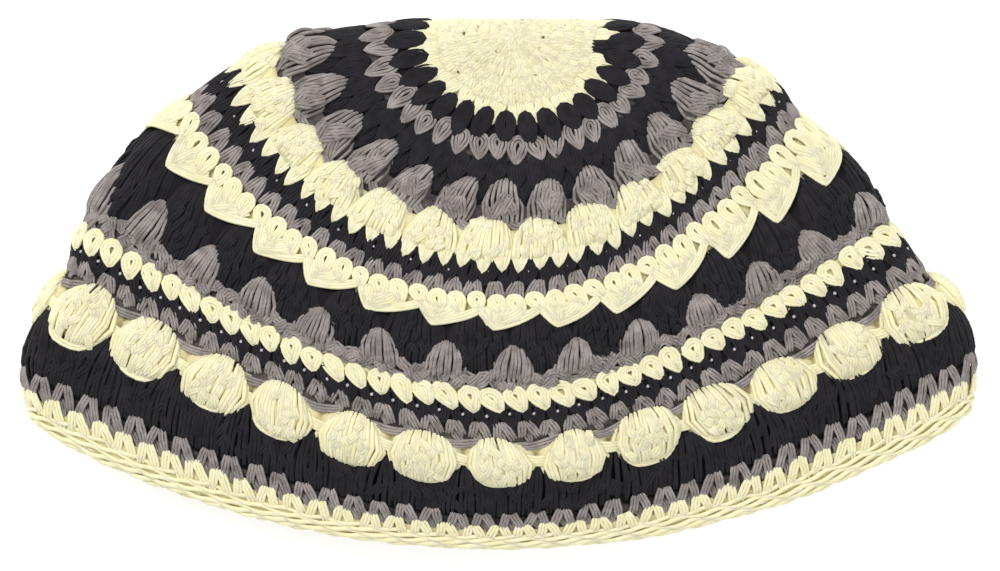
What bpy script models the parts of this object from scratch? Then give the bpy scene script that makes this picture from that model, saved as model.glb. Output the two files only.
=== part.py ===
"""A crocheted kippah in three colours of yarn, lying folded flat with its crown at +Y.

The cap is worked in rounds from the crown's centre out to the rim, and each round of one
colour is a solid of its own. Metres, +Z up. The back half lies on Z = 0, the front half is
on top, and the rim is open towards -Y. The origin is on the ground under the middle.
"""

import math

import bmesh
import bpy
import numpy as np

# Driving sizes of the folded cap
WIDTH = 0.250  # from fold to fold
DEPTH = 0.137  # from the crown's top edge to the lowest point of the rim
WALL = 0.0045  # crocheted fabric
FOLD_THICKNESS = 0.0175  # both layers where the cap folds over at its sides
BELLY_RISE = 0.0195  # how far the front stands up above the folded edge
CROWN_BACK = 0.0042  # from the crown's top edge to the centre of its first round
ROUND_GAP = 0.0004  # between one colour and the next
SCALLOP_GAP = 0.0008  # the same where they meet in scallops, measured straight towards the rim
BOBBLE_PUFF = 0.0032
SHELL_PUFF = 0.0022
FAN_PUFF = 0.0016
CROWN_COLUMNS = 36  # faces round each of the first three rounds
PLAIN_COLUMNS = 56  # faces round a plain band
MOTIF_COLUMNS = 4  # faces round one bobble, shell or fan
FOLD_CROWDING = 0.5  # how much closer a plain band's faces are at the folds

# Worked out from the sizes above
HALF_WIDTH = WIDTH / 2
FOLD_RADIUS = FOLD_THICKNESS / 2
FRONT_REACH = DEPTH - CROWN_BACK  # crown centre to the rim, seen from above
CREST_Y = DEPTH / 2  # the crown's top edge
CROWN_Y = CREST_Y - CROWN_BACK
BEND_Y = CREST_Y - FOLD_RADIUS  # middle of the bend over the crown
CROWN_LEAN = math.asin((FOLD_RADIUS - CROWN_BACK) / FOLD_RADIUS)
CROWN_OVAL = 1.2  # the crown's rounds are this much wider than they are deep
CROWN_SHIFT = 0.0355  # share of the half width, to the right of the middle

# The folded shape, a row for each section. at: share of the way from the crown's centre to
# the rim. left_out and right_out: shares of the half width. left_down and right_down: shares
# of the depth below the top edge. left_round and right_round: the power that shapes each half
# of the round as it hangs from its fold, 0.5 for a circle and 1 for a parabola. back_at: how
# far down the back reaches, a share of the front's reach. arch: how square the round is as a
# whole. lift: share of the belly's rise.
COLUMNS = (
    "at", "left_out", "left_down", "left_round", "right_out", "right_down", "right_round",
    "back_at", "arch", "lift",
)
SECTIONS = (
    (0.000, 0.000, 0.030, 0.50, 0.000, 0.030, 0.50, 0.000, 2.00, 0.00),
    (0.159, 0.180, 0.004, 0.50, 0.228, 0.004, 0.50, 0.044, 2.00, 0.14),
    (0.224, 0.265, 0.012, 0.50, 0.305, 0.015, 0.54, 0.108, 2.00, 0.30),
    (0.330, 0.409, 0.033, 0.50, 0.457, 0.061, 0.75, 0.226, 2.00, 0.58),
    (0.452, 0.557, 0.088, 0.61, 0.587, 0.126, 0.97, 0.363, 2.08, 0.86),
    (0.503, 0.637, 0.135, 0.68, 0.628, 0.173, 1.04, 0.413, 2.10, 0.94),
    (0.554, 0.708, 0.183, 0.76, 0.718, 0.248, 1.12, 0.464, 2.10, 1.00),
    (0.637, 0.824, 0.320, 0.98, 0.793, 0.349, 1.12, 0.545, 1.92, 1.00),
    (0.694, 0.875, 0.390, 1.13, 0.821, 0.385, 1.10, 0.601, 1.82, 0.96),
    (0.792, 0.908, 0.482, 1.12, 0.902, 0.486, 1.06, 0.703, 1.72, 0.82),
    (0.874, 0.971, 0.587, 1.24, 0.969, 0.564, 1.10, 0.792, 1.79, 0.64),
    (0.947, 0.995, 0.682, 1.10, 0.995, 0.653, 1.04, 0.864, 1.82, 0.46),
    (1.000, 0.978, 0.766, 1.00, 0.990, 0.746, 1.00, 0.923, 2.08, 0.36),
)

# Edges between the rounds. count and depth: scallops and how deep they are, a share of the
# front's reach. rise: 1 where they point at the crown and -1 where they point at the rim.
# step: how far a scallop's middle is from the front's middle, in scallops.
EDGES = {
    "crown": (0.159, 0, 0.0, 0, 0.0),
    "navy_1": (0.202, 0, 0.0, 0, 0.0),
    "grey_1": (0.244, 0, 0.0, 0, 0.0),
    "navy_2": (0.293, 24, 0.028, 1, 0.05),
    "grey_bobble": (0.369, 24, 0.034, 1, -0.20),
    "cream_shell": (0.448, 0, 0.0, 0, 0.0),
    "navy_3": (0.483, 0, 0.0, 0, 0.0),
    "grey_2": (0.515, 0, 0.0, 0, 0.0),
    "cream_1": (0.558, 26, 0.034, 1, -0.15),
    "navy_shell": (0.637, 26, 0.044, -1, -0.15),
    "grey_fan": (0.692, 0, 0.0, 0, 0.0),
    "cream_2": (0.727, 0, 0.0, 0, 0.0),
    "navy_4": (0.762, 0, 0.0, 0, 0.0),
    "grey_3": (0.797, 26, 0.026, 1, 0.0),
    "cream_bobble": (0.872, 26, 0.042, -1, 0.0),
    "navy_5": (0.942, 0, 0.0, 0, 0.0),
    "grey_4": (0.967, 0, 0.0, 0, 0.0),
    "rim": (1.000, 0, 0.0, 0, 0.0),
}

# The rounds from the crown out: node, edge where it starts, edge where it ends, yarn, motifs
# round it, how far they stand out, and how far their middles are from the front's middle.
ROUNDS = (
    ("crown_disc", None, "crown", "cream", 0, 0.0, 0.0),
    ("navy_band_1", "crown", "navy_1", "navy", 0, 0.0, 0.0),
    ("grey_band_1", "navy_1", "grey_1", "grey", 0, 0.0, 0.0),
    ("navy_band_2", "grey_1", "navy_2", "navy", 24, 0.0, 0.05),
    ("grey_bobbles", "navy_2", "grey_bobble", "grey", 24, BOBBLE_PUFF, 0.05),
    ("cream_shells", "grey_bobble", "cream_shell", "cream", 24, SHELL_PUFF, -0.20),
    ("navy_band_3", "cream_shell", "navy_3", "navy", 0, 0.0, 0.0),
    ("grey_band_2", "navy_3", "grey_2", "grey", 0, 0.0, 0.0),
    ("cream_band_1", "grey_2", "cream_1", "cream", 26, 0.0, -0.15),
    ("navy_shells", "cream_1", "navy_shell", "navy", 26, SHELL_PUFF, -0.15),
    ("grey_fans", "navy_shell", "grey_fan", "grey", 26, FAN_PUFF, 0.35),
    ("cream_band_2", "grey_fan", "cream_2", "cream", 0, 0.0, 0.0),
    ("navy_band_4", "cream_2", "navy_4", "navy", 0, 0.0, 0.0),
    ("grey_band_3", "navy_4", "grey_3", "grey", 26, 0.0, 0.0),
    ("cream_bobbles", "grey_3", "cream_bobble", "cream", 26, BOBBLE_PUFF, 0.0),
    ("navy_band_5", "cream_bobble", "navy_5", "navy", 26, 0.0, 0.0),
    ("grey_band_4", "navy_5", "grey_4", "grey", 0, 0.0, 0.0),
    ("cream_edging", "grey_4", "rim", "cream", 0, 0.0, 0.0),
)

# Yarn colours: red, green, blue, roughness
YARNS = {
    "cream": (0.90, 0.85, 0.58, 0.85),
    "navy": (0.022, 0.020, 0.030, 0.90),
    "grey": (0.30, 0.265, 0.275, 0.88),
}

QUARTER_POINTS = 90  # points on a quarter of a round, before they are spread evenly
CHART_ROWS = 161  # places from the crown's centre to the rim where the shape is worked out
CHART_COLUMNS = 540  # places round the cap where it is worked out


def smooth_column(name, share):
    """A column of SECTIONS at a share of the way out, on a curve through its rows."""
    at = np.array([row[0] for row in SECTIONS])
    values = np.array([row[COLUMNS.index(name)] for row in SECTIONS])
    slopes = np.gradient(values, at)
    spot = int(np.clip(np.searchsorted(at, share) - 1, 0, len(at) - 2))
    span = at[spot + 1] - at[spot]
    t = np.clip((share - at[spot]) / span, 0.0, 1.05)
    return (
        (2 * t**3 - 3 * t**2 + 1) * values[spot]
        + (t**3 - 2 * t**2 + t) * span * slopes[spot]
        + (-2 * t**3 + 3 * t**2) * values[spot + 1]
        + (t**3 - t**2) * span * slopes[spot + 1]
    )


def ease(low, high, value):
    """0 below low, 1 above high, and smooth between."""
    t = np.clip((value - low) / (high - low), 0.0, 1.0)
    return t * t * (3 - 2 * t)


def fold_turn(share):
    """How far past the side, in radians, a round goes on before it folds to the back."""
    over_crown = FOLD_RADIUS * (math.pi / 2 - CROWN_LEAN)
    radius = max(CROWN_OVAL * FRONT_REACH * share, over_crown)
    return math.asin(over_crown / radius)


def crown_round(share, turns):
    """A round near the crown: an oval laid over the bend. turns: radians, front at pi / 2."""
    reach = FRONT_REACH * share
    x = CROWN_SHIFT * HALF_WIDTH + CROWN_OVAL * reach * np.cos(turns)
    down = np.sin(turns)
    front_y = CROWN_Y - reach * np.maximum(down, 0.0)
    over = np.sqrt(np.maximum(FOLD_RADIUS**2 - np.maximum(front_y - BEND_Y, 0.0) ** 2, 0.0))
    front_z = FOLD_RADIUS + over
    travel = reach / math.cos(CROWN_LEAN) * np.maximum(-down, 0.0)
    angle = np.minimum(CROWN_LEAN + travel / FOLD_RADIUS, math.pi)
    past = np.maximum(travel - FOLD_RADIUS * (math.pi - CROWN_LEAN), 0.0)
    back_y = BEND_Y + FOLD_RADIUS * np.sin(angle) - past
    back_z = FOLD_RADIUS + FOLD_RADIUS * np.cos(angle)
    front = down >= 0
    return np.stack([x, np.where(front, front_y, back_y), np.where(front, front_z, back_z)], 1)


def hanging_arc(share, middle_y):
    """A round from the right fold to the left one, seen from above, by way of middle_y."""
    middle_x = CROWN_SHIFT * HALF_WIDTH * (1 - ease(0.2, 0.75, share))
    out = np.cos(np.linspace(0.0, math.pi / 2, QUARTER_POINTS))
    bow = 1 - out ** smooth_column("arch", share)
    halves = []
    for side, sign in (("right", 1), ("left", -1)):
        end_x = sign * smooth_column(side + "_out", share) * HALF_WIDTH
        end_y = CREST_Y - smooth_column(side + "_down", share) * DEPTH
        x = middle_x + (end_x - middle_x) * out
        sag = bow ** smooth_column(side + "_round", share)
        halves.append(np.stack([x, end_y + (middle_y - end_y) * sag], 1))
    return np.concatenate([halves[0], halves[1][-2::-1]])


def spread(points, count_from, count_to, turns):
    """Points at these turns, evenly along a polyline that runs from count_from to count_to."""
    steps = np.linalg.norm(np.diff(points, axis=0), axis=1)
    along = np.concatenate([[0.0], np.cumsum(steps)])
    wanted = (turns - count_from) / (count_to - count_from) * along[-1]
    return np.stack([np.interp(wanted, along, points[:, k]) for k in range(3)], 1)


def rounded_edge(arc, side):
    """Gives an arc its height: a quarter of a bend at each end. side: 1 front, -1 back."""
    steps = np.linalg.norm(np.diff(arc, axis=0), axis=1)
    along = np.concatenate([[0.0], np.cumsum(steps)])
    inside = np.minimum(np.minimum(along, along[-1] - along), FOLD_RADIUS)
    height = FOLD_RADIUS + side * np.sqrt(FOLD_RADIUS**2 - (FOLD_RADIUS - inside) ** 2)
    return np.column_stack([arc, height])


def hanging_round(share, turns):
    """A round that crosses the folds at both sides, as points at these turns."""
    past = fold_turn(share)
    front = rounded_edge(hanging_arc(share, CROWN_Y - FRONT_REACH * share), 1)
    back_y = CROWN_Y - smooth_column("back_at", share) * FRONT_REACH
    back = rounded_edge(hanging_arc(share, back_y)[::-1], -1)
    wrapped = np.mod(turns + past, 2 * math.pi) - past
    on_front = spread(front, -past, math.pi + past, wrapped)
    on_back = spread(back, math.pi + past, 2 * math.pi - past, wrapped)
    return np.where((wrapped <= math.pi + past)[:, None], on_front, on_back)


def base_round(share, turns):
    """The cap's outer surface without its motifs, at one share of the way out."""
    hanging = ease(0.159, 0.330, share)
    points = np.zeros((len(turns), 3))
    if hanging < 1:
        points += (1 - hanging) * crown_round(share, turns)
    if hanging > 0:
        points += hanging * hanging_round(share, turns)
    past = fold_turn(share)
    wrapped = np.mod(turns + past, 2 * math.pi) - past
    across = np.clip((wrapped + past) / (math.pi + 2 * past), 0.0, 1.0)
    points[:, 2] += BELLY_RISE * smooth_column("lift", share) * np.sin(math.pi * across) ** 2
    return points


def cap_chart():
    """The cap's outer surface on a grid of shares and turns: its points and outward normals."""
    shares = np.linspace(0.0, 1.0, CHART_ROWS)
    turns = np.linspace(0.0, 2 * math.pi, CHART_COLUMNS, endpoint=False)
    points = np.array([base_round(max(share, 1e-4), turns) for share in shares])
    outward = np.gradient(points, axis=0)
    along = np.roll(points, -1, axis=1) - np.roll(points, 1, axis=1)
    normals = np.cross(along, outward)
    normals /= np.maximum(np.linalg.norm(normals, axis=2, keepdims=True), 1e-15)
    normals[:3] = normals[3].mean(axis=0) / np.linalg.norm(normals[3].mean(axis=0))
    return points, normals


def surface(chart, shares, turns):
    """Outer points and outward normals, where each turn has its own share of the way out."""
    across = np.clip(shares, 0.0, 1.0) * (CHART_ROWS - 1)
    row = np.minimum(across.astype(int), CHART_ROWS - 2)
    part = (across - row)[:, None]
    around = np.mod(turns, 2 * math.pi) / (2 * math.pi) * CHART_COLUMNS
    column = around.astype(int) % CHART_COLUMNS
    beyond = (column + 1) % CHART_COLUMNS
    rest = (around - np.floor(around))[:, None]
    found = []
    for grid in chart:
        near = grid[row, column] * (1 - rest) + grid[row, beyond] * rest
        far = grid[row + 1, column] * (1 - rest) + grid[row + 1, beyond] * rest
        found.append(near * (1 - part) + far * part)
    points, normals = found
    return points, normals / np.linalg.norm(normals, axis=1, keepdims=True)


def scallop(turns, count, step):
    """1 in the middle of each scallop and 0 in the cusps between them."""
    phase = ((math.pi / 2 - turns) / (2 * math.pi) * count - step) % 1.0
    return np.abs(np.cos(math.pi * phase))


def edge_shares(name, turns):
    """The share of the way out at which an edge between two rounds runs."""
    at, count, depth, rise, step = EDGES[name]
    if not count:
        return np.full(len(turns), at)
    return at - rise * depth * (scallop(turns, count, step) - 0.6)


def half_gap(name):
    """Half of the gap at an edge between two rounds, as a share of the front's reach."""
    if name == "rim":
        return 0.0
    return (SCALLOP_GAP if EDGES[name][1] else ROUND_GAP) / 2 / FRONT_REACH


def resting(points):
    """0 where the cap lies flat on the ground and 1 on its sides and top."""
    return ease(0.35 * FOLD_RADIUS, FOLD_RADIUS, points[:, 2])


def column_turns(count, step, faces):
    """Turns of the faces round a band: evenly round motifs, or closer together at the folds."""
    if count:
        first = math.pi / 2 - 2 * math.pi / count * step
        return first + np.linspace(0.0, 2 * math.pi, count * MOTIF_COLUMNS + 1)
    even = np.linspace(0.0, 2 * math.pi, faces + 1)
    crowding = FOLD_CROWDING if faces == PLAIN_COLUMNS else 0.0
    return even - crowding / 2 * np.sin(2 * even)


def wall_rings(chart, start, end, count, puff, step, turns):
    """The rings of points that go once round a band's wall: outside, rim side, inside."""
    low = edge_shares(start, turns) + half_gap(start)
    high = edge_shares(end, turns) - half_gap(end)
    across = (0.0, 0.5, 1.0) if puff else (0.0, 1.0)
    outer = []
    inner = []
    for part in across:
        points, normals = surface(chart, low + (high - low) * part, turns)
        inner.append(points - WALL * normals)
        if puff and part == 0.5:
            stand = puff * (0.15 + 0.85 * scallop(turns, count, step) ** 1.5)
            points = points + normals * (stand * resting(points))[:, None]
        points[:, 2] = np.maximum(points[:, 2], 0.0)
        outer.append(points)
    return outer + [inner[-1], inner[0], outer[0]]


def disc_rings(chart, end, turns):
    """The same for the crown, from its centre outside to its centre inside."""
    reach = edge_shares(end, turns) - half_gap(end)
    outer = []
    inner = []
    for part in (0.0, 0.2, 0.45, 0.72, 1.0):
        points, normals = surface(chart, reach * part, turns)
        if part == 0.0:
            points[:] = points.mean(axis=0)
        outer.append(points)
        inner.append(points - WALL * normals)
    return outer + inner[::-1]


def yarn_material(name):
    red, green, blue, roughness = YARNS[name]
    material = bpy.data.materials.new(name + "_yarn")
    material.use_nodes = True
    shader = material.node_tree.nodes["Principled BSDF"]
    shader.inputs["Base Color"].default_value = (red, green, blue, 1.0)
    shader.inputs["Roughness"].default_value = roughness
    shader.inputs["Metallic"].default_value = 0.0
    return material


def band(name, rings, material):
    """Wraps a grid round the cap: its columns go round the head, its rows round the wall."""
    rows = len(rings)
    columns = len(rings[0])
    bm = bmesh.new()
    bmesh.ops.create_grid(bm, x_segments=columns - 1, y_segments=rows - 1, size=0.5)
    # Neighbours turn the same diagonal to each other, so their twisted ends stay apart.
    last_row = 0.5 - 1.0 / (rows - 1)
    starts = [face for face in bm.faces if face.calc_center_median().y > last_row]
    rest = [face for face in bm.faces if face.calc_center_median().y < last_row]
    bmesh.ops.triangulate(bm, faces=starts, quad_method="ALTERNATE")
    bmesh.ops.triangulate(bm, faces=rest, quad_method="FIXED")
    for vert in bm.verts:
        column = round((vert.co.x + 0.5) * (columns - 1))
        row = round((vert.co.y + 0.5) * (rows - 1))
        vert.co = rings[row][column]
    bmesh.ops.remove_doubles(bm, verts=bm.verts, dist=1e-6)
    bmesh.ops.dissolve_degenerate(bm, edges=bm.edges, dist=1e-7)
    bmesh.ops.recalc_face_normals(bm, faces=bm.faces)
    mesh = bpy.data.meshes.new(name)
    bm.to_mesh(mesh)
    bm.free()
    mesh.shade_smooth()
    mesh.set_sharp_from_angle(angle=math.radians(50))
    mesh.materials.append(material)
    made = bpy.data.objects.new(name, mesh)
    bpy.context.scene.collection.objects.link(made)
    return made


def build():
    for old in list(bpy.data.objects):
        bpy.data.objects.remove(old)
    materials = {name: yarn_material(name) for name in YARNS}
    chart = cap_chart()
    for name, start, end, yarn, count, puff, step in ROUNDS:
        small = EDGES[end][0] < 0.25
        turns = column_turns(count, step, CROWN_COLUMNS if small else PLAIN_COLUMNS)
        if start is None:
            rings = disc_rings(chart, end, turns)
        else:
            rings = wall_rings(chart, start, end, count, puff, step, turns)
        band(name, rings, materials[yarn])


build()
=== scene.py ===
# %% [markdown]
# # A crocheted kippah, lying folded flat
#
# The cap is worked in rounds from the crown's centre out to the rim, in cream, navy and grey
# cotton. It lies on its back half, so we see the front half from above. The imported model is
# loaded first. It gives the plain wall of every round, and each piece made here takes the
# place of one of those walls.

# %% Load the frame
import math
import bmesh
import bpy
import numpy as np
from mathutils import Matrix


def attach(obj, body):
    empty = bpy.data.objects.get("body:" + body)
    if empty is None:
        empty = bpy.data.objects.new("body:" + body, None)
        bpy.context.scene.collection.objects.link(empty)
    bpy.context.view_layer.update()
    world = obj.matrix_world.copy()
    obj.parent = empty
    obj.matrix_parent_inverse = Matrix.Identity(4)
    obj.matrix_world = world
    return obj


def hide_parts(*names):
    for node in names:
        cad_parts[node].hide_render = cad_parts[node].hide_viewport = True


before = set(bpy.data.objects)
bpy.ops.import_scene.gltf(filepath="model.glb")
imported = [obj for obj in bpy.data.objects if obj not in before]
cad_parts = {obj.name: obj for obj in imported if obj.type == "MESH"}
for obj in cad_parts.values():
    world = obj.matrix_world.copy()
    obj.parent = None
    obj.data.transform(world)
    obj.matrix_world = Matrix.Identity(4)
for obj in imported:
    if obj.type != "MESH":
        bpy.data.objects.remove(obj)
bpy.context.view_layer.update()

# %% [markdown]
# ## The shape of the folded cap
#
# A stitch is easier to draw on flat paper than on a cap. So the cap gets a map, as the earth
# does: a place on it is a turn round the crown and a share of the way from the crown's centre
# to the rim. A short table says how the cap lies at a few shares, and everything between the
# rows follows a smooth curve. Stitches are then drawn on the map and laid on the cap.

# %% Sizes of the cap, in metres
WIDTH = 0.250
DEPTH = 0.137
WALL = 0.0045
FOLD_THICKNESS = 0.0175
BELLY_RISE = 0.0195
CROWN_BACK = 0.0042
HALF_WIDTH = WIDTH / 2
FOLD_RADIUS = FOLD_THICKNESS / 2
FRONT_REACH = DEPTH - CROWN_BACK
CREST_Y = DEPTH / 2
CROWN_Y = CREST_Y - CROWN_BACK
BEND_Y = CREST_Y - FOLD_RADIUS
CROWN_LEAN = math.asin((FOLD_RADIUS - CROWN_BACK) / FOLD_RADIUS)
CROWN_OVAL = 1.2
CROWN_SHIFT = 0.0355
CROWN_END = 0.159
HANGING_START = 0.330
print("the cap is", round(WIDTH * 1000), "by", round(DEPTH * 1000), "mm, seen from above")

# %% How the cap lies, from the crown's centre to the rim
COLUMNS = (
    "at", "left_out", "left_down", "left_round", "right_out", "right_down", "right_round",
    "back_at", "arch", "lift",
)
SECTIONS = (
    (0.000, 0.000, 0.030, 0.50, 0.000, 0.030, 0.50, 0.000, 2.00, 0.00),
    (0.159, 0.180, 0.004, 0.50, 0.228, 0.004, 0.50, 0.044, 2.00, 0.14),
    (0.224, 0.265, 0.012, 0.50, 0.305, 0.015, 0.54, 0.108, 2.00, 0.30),
    (0.330, 0.409, 0.033, 0.50, 0.457, 0.061, 0.75, 0.226, 2.00, 0.58),
    (0.452, 0.557, 0.088, 0.61, 0.587, 0.126, 0.97, 0.363, 2.08, 0.86),
    (0.503, 0.637, 0.135, 0.68, 0.628, 0.173, 1.04, 0.413, 2.10, 0.94),
    (0.554, 0.708, 0.183, 0.76, 0.718, 0.248, 1.12, 0.464, 2.10, 1.00),
    (0.637, 0.824, 0.320, 0.98, 0.793, 0.349, 1.12, 0.545, 1.92, 1.00),
    (0.694, 0.875, 0.390, 1.13, 0.821, 0.385, 1.10, 0.601, 1.82, 0.96),
    (0.792, 0.908, 0.482, 1.12, 0.902, 0.486, 1.06, 0.703, 1.72, 0.82),
    (0.874, 0.971, 0.587, 1.24, 0.969, 0.564, 1.10, 0.792, 1.79, 0.64),
    (0.947, 0.995, 0.682, 1.10, 0.995, 0.653, 1.04, 0.864, 1.82, 0.46),
    (1.000, 0.978, 0.766, 1.00, 0.990, 0.746, 1.00, 0.923, 2.08, 0.36),
)
CHART_ROWS = 241
CHART_COLUMNS = 1080
CHART_END = 1.04


def smooth_column(name, share):
    """A column of SECTIONS at a share of the way out, on a curve through its rows."""
    at = np.array([row[0] for row in SECTIONS])
    values = np.array([row[COLUMNS.index(name)] for row in SECTIONS])
    slopes = np.gradient(values, at)
    spot = int(np.clip(np.searchsorted(at, share) - 1, 0, len(at) - 2))
    span = at[spot + 1] - at[spot]
    t = np.clip((share - at[spot]) / span, 0.0, 1.05)
    return (
        (2 * t**3 - 3 * t**2 + 1) * values[spot]
        + (t**3 - 2 * t**2 + t) * span * slopes[spot]
        + (-2 * t**3 + 3 * t**2) * values[spot + 1]
        + (t**3 - t**2) * span * slopes[spot + 1]
    )


def ease(start, end, value):
    """A smooth step from 0 at start to 1 at end."""
    t = np.clip((value - start) / (end - start), 0.0, 1.0)
    return t * t * (3 - 2 * t)


print("the fold's radius is", round(FOLD_RADIUS * 1000, 2), "mm")

# %% The rounds near the crown, and those that hang between the folds
def fold_turn(share):
    """How far past the side of the crown a round passes over the fold, as a turn."""
    over_crown = FOLD_RADIUS * (math.pi / 2 - CROWN_LEAN)
    return math.asin(over_crown / max(CROWN_OVAL * FRONT_REACH * share, over_crown))


def crown_round(share, turns):
    """A round near the crown: an oval that is bent over the top fold."""
    reach = FRONT_REACH * share
    x = CROWN_SHIFT * HALF_WIDTH + CROWN_OVAL * reach * np.cos(turns)
    down = np.sin(turns)
    front_y = CROWN_Y - reach * np.maximum(down, 0.0)
    over = np.sqrt(np.maximum(FOLD_RADIUS**2 - np.maximum(front_y - BEND_Y, 0.0) ** 2, 0.0))
    travel = reach / math.cos(CROWN_LEAN) * np.maximum(-down, 0.0)
    angle = np.minimum(CROWN_LEAN + travel / FOLD_RADIUS, math.pi)
    past = np.maximum(travel - FOLD_RADIUS * (math.pi - CROWN_LEAN), 0.0)
    back_y = BEND_Y + FOLD_RADIUS * np.sin(angle) - past
    back_z = FOLD_RADIUS + FOLD_RADIUS * np.cos(angle)
    y = np.where(down >= 0, front_y, back_y)
    return np.stack([x, y, np.where(down >= 0, FOLD_RADIUS + over, back_z)], 1)


def hanging_arc(share, middle_y):
    """A round of one layer, seen from above, from the right fold to the left one."""
    middle_x = CROWN_SHIFT * HALF_WIDTH * (1 - ease(0.2, 0.75, share))
    out = np.cos(np.linspace(0.0, math.pi / 2, 90))
    bow = 1 - out ** smooth_column("arch", share)
    halves = []
    for side, sign in (("right", 1), ("left", -1)):
        end_x = sign * smooth_column(side + "_out", share) * HALF_WIDTH
        end_y = CREST_Y - smooth_column(side + "_down", share) * DEPTH
        x = middle_x + (end_x - middle_x) * out
        sag = bow ** smooth_column(side + "_round", share)
        halves.append(np.stack([x, end_y + (middle_y - end_y) * sag], 1))
    return np.concatenate([halves[0], halves[1][-2::-1]])


def along(line):
    """How far along a line each of its points is."""
    steps = np.linalg.norm(np.diff(line, axis=0), axis=1)
    return np.concatenate([[0.0], np.cumsum(steps)])


def rounded_edge(arc, side):
    """The arc with its height, rounded down at both folds."""
    run = along(arc)
    inside = np.minimum(np.minimum(run, run[-1] - run), FOLD_RADIUS)
    height = FOLD_RADIUS + side * np.sqrt(FOLD_RADIUS**2 - (FOLD_RADIUS - inside) ** 2)
    return np.column_stack([arc, height])


def spread(line, first, last, turns):
    """Points of a line at these turns, evenly from its first turn to its last."""
    run = along(line)
    wanted = (turns - first) / (last - first) * run[-1]
    return np.stack([np.interp(wanted, run, line[:, k]) for k in range(3)], 1)


def hanging_round(share, turns):
    """A round that hangs between the folds, half in front and half behind."""
    past = fold_turn(share)
    front = rounded_edge(hanging_arc(share, CROWN_Y - FRONT_REACH * share), 1)
    back_y = CROWN_Y - smooth_column("back_at", share) * FRONT_REACH
    back = rounded_edge(hanging_arc(share, back_y)[::-1], -1)
    wrapped = np.mod(turns + past, 2 * math.pi) - past
    on_front = spread(front, -past, math.pi + past, wrapped)
    on_back = spread(back, math.pi + past, 2 * math.pi - past, wrapped)
    return np.where((wrapped <= math.pi + past)[:, None], on_front, on_back)


def base_round(share, turns):
    """Any round: near the crown, between the folds, or a blend of both."""
    hanging = ease(CROWN_END, HANGING_START, share)
    points = np.zeros((len(turns), 3))
    if hanging < 1:
        points += (1 - hanging) * crown_round(share, turns)
    if hanging > 0:
        points += hanging * hanging_round(share, turns)
    past = fold_turn(share)
    wrapped = np.mod(turns + past, 2 * math.pi) - past
    across = np.clip((wrapped + past) / (math.pi + 2 * past), 0.0, 1.0)
    points[:, 2] += BELLY_RISE * smooth_column("lift", share) * np.sin(math.pi * across) ** 2
    return points


print("the rounds hang freely from a share of", HANGING_START)

# %% The map of the cap: a place and an outward direction for every turn and share
chart_turns = np.linspace(0.0, 2 * math.pi, CHART_COLUMNS, endpoint=False)
chart_shares = np.linspace(0.0, CHART_END, CHART_ROWS)
chart_places = np.array([base_round(min(max(s, 1e-4), 1.0), chart_turns) for s in chart_shares])
beyond_rim = np.maximum(chart_shares - 1.0, 0.0)[:, None, None]
rim_row = int(np.searchsorted(chart_shares, 1.0)) - 1
rim_step = chart_places[rim_row] - chart_places[rim_row - 4]
rim_step /= chart_shares[rim_row] - chart_shares[rim_row - 4]
chart_places += beyond_rim * rim_step[None]
outward = np.gradient(chart_places, axis=0)
sideways = np.roll(chart_places, -1, axis=1) - np.roll(chart_places, 1, axis=1)
chart_normals = np.cross(sideways, outward)
chart_normals /= np.maximum(np.linalg.norm(chart_normals, axis=2, keepdims=True), 1e-15)
chart_normals[:3] = chart_normals[3].mean(axis=0)


def on_cap(turns, shares, lift):
    """Points of the cap at these turns and shares, lifted off it along its outward normal."""
    turns, shares, lift = np.broadcast_arrays(turns, shares, lift)
    across = np.clip(shares / CHART_END, 0.0, 1.0) * (CHART_ROWS - 1)
    row = np.minimum(across.astype(int), CHART_ROWS - 2)
    part = (across - row)[..., None]
    around = np.mod(turns, 2 * math.pi) / (2 * math.pi) * CHART_COLUMNS
    column = around.astype(int) % CHART_COLUMNS
    rest = (around - np.floor(around))[..., None]
    found = []
    for grid in (chart_places, chart_normals):
        near = grid[row, column] * (1 - rest) + grid[row, (column + 1) % CHART_COLUMNS] * rest
        far = grid[row + 1, column] * (1 - rest)
        far = far + grid[row + 1, (column + 1) % CHART_COLUMNS] * rest
        found.append(near * (1 - part) + far * part)
    places, normals = found
    normals = normals / np.maximum(np.linalg.norm(normals, axis=-1, keepdims=True), 1e-12)
    return places + normals * lift[..., None], normals


print("the map has", CHART_ROWS, "rows and", CHART_COLUMNS, "columns")

# %% [markdown]
# ## Camera, floor and light
#
# The photograph looks straight down on the folded cap in even light on white. A long lens far
# above keeps the stitches at the edge from leaning away. One large soft lamp stands to the
# upper left, so that the strands of yarn have a light and a dark side, and a weaker one fills
# the shadows from the right.

# %% Camera
REFERENCE_HEIGHT = 0.014
PHOTO_SPAN = WIDTH / 0.958
SENSOR = 36
camera_data = bpy.data.cameras.new("camera")
camera = bpy.data.objects.new("camera", camera_data)
bpy.context.scene.collection.objects.link(camera)
camera.location = (0.0003, -0.0005, 1.5)
camera_data.sensor_width = SENSOR
camera_data.lens = SENSOR * (camera.location.z - REFERENCE_HEIGHT) / PHOTO_SPAN
camera_data.clip_end = 10
bpy.context.scene.camera = camera
print("lens of", round(camera_data.lens), "mm")

# %% Floor
def set_sockets(node, values):
    """Sets inputs of a shader node to constants, by their names."""
    for socket, value in values.items():
        node.inputs[socket].default_value = value


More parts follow.
